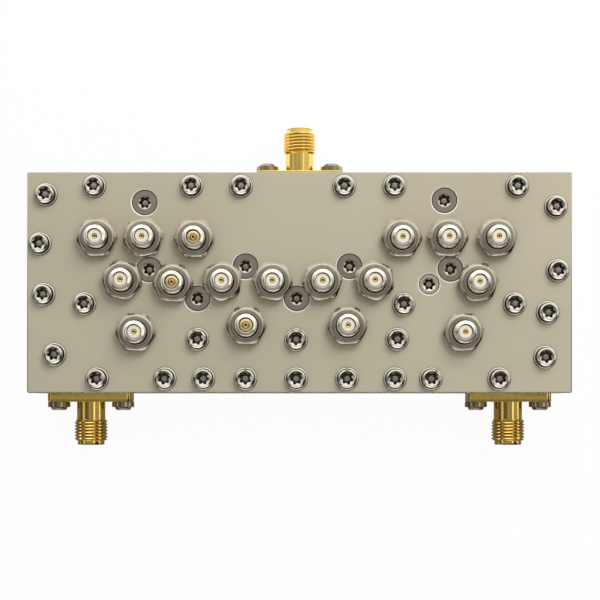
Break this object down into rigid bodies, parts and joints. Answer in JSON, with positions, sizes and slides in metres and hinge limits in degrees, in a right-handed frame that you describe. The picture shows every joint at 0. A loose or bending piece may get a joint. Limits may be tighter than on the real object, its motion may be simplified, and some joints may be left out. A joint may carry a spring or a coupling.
{
  "type": "duplexer",
  "caption": "Cavity duplexer: a milled metal block under a screwed cover, with rows of lock-nutted tuners and gold-plated threaded coaxial jacks on its long sides.",
  "frame": {"origin": "middle of the block's flat back, which is also the middle of the bottom of the bounding box", "axes": "+X along the long side from the low band port to the high band port, +Y towards the common port, +Z out of the cover"},
  "size_m": [0.1, 0.0602, 0.0243],
  "materials": {
    "beige_finish": "satin beige finish on machined aluminium",
    "silver_plating": "bright silver plating",
    "polished_stainless": "turned and polished stainless steel",
    "brushed_stainless": "fine turned stainless steel",
    "gold_plating": "polished gold plating over brass",
    "brass": "turned brass",
    "copper": "bright copper alloy",
    "white_dielectric": "smooth white fluoropolymer"
  },
  "bodies": {
    "root": {"housing": "beige_finish", "cover_plate": "beige_finish", "low_band_resonators": "silver_plating", "high_band_resonators": "silver_plating", "tuner_sleeves": "polished_stainless", "tuner_lock_nuts": "polished_stainless", "tuner_insulators": "white_dielectric", "tuner_pins": "gold_plating", "brass_tuning_rods": "brass", "cover_screws": "polished_stainless", "cover_washers": "polished_stainless", "flush_screws": "brushed_stainless", "small_flush_screw": "brushed_stainless", "common_port_shell": "gold_plating", "common_port_insulator": "white_dielectric", "common_port_contact": "gold_plating", "common_port_screws": "brushed_stainless", "low_port_shell": "gold_plating", "low_port_insulator": "white_dielectric", "low_port_contact": "gold_plating", "low_port_screws": "brushed_stainless", "high_port_shell": "gold_plating", "high_port_insulator": "white_dielectric", "high_port_contact": "gold_plating", "high_port_screws": "brushed_stainless", "common_feed_rod": "copper", "common_tap_link": "copper", "low_tap_link": "copper", "high_tap_link": "copper"}
  },
  "joints": []
}
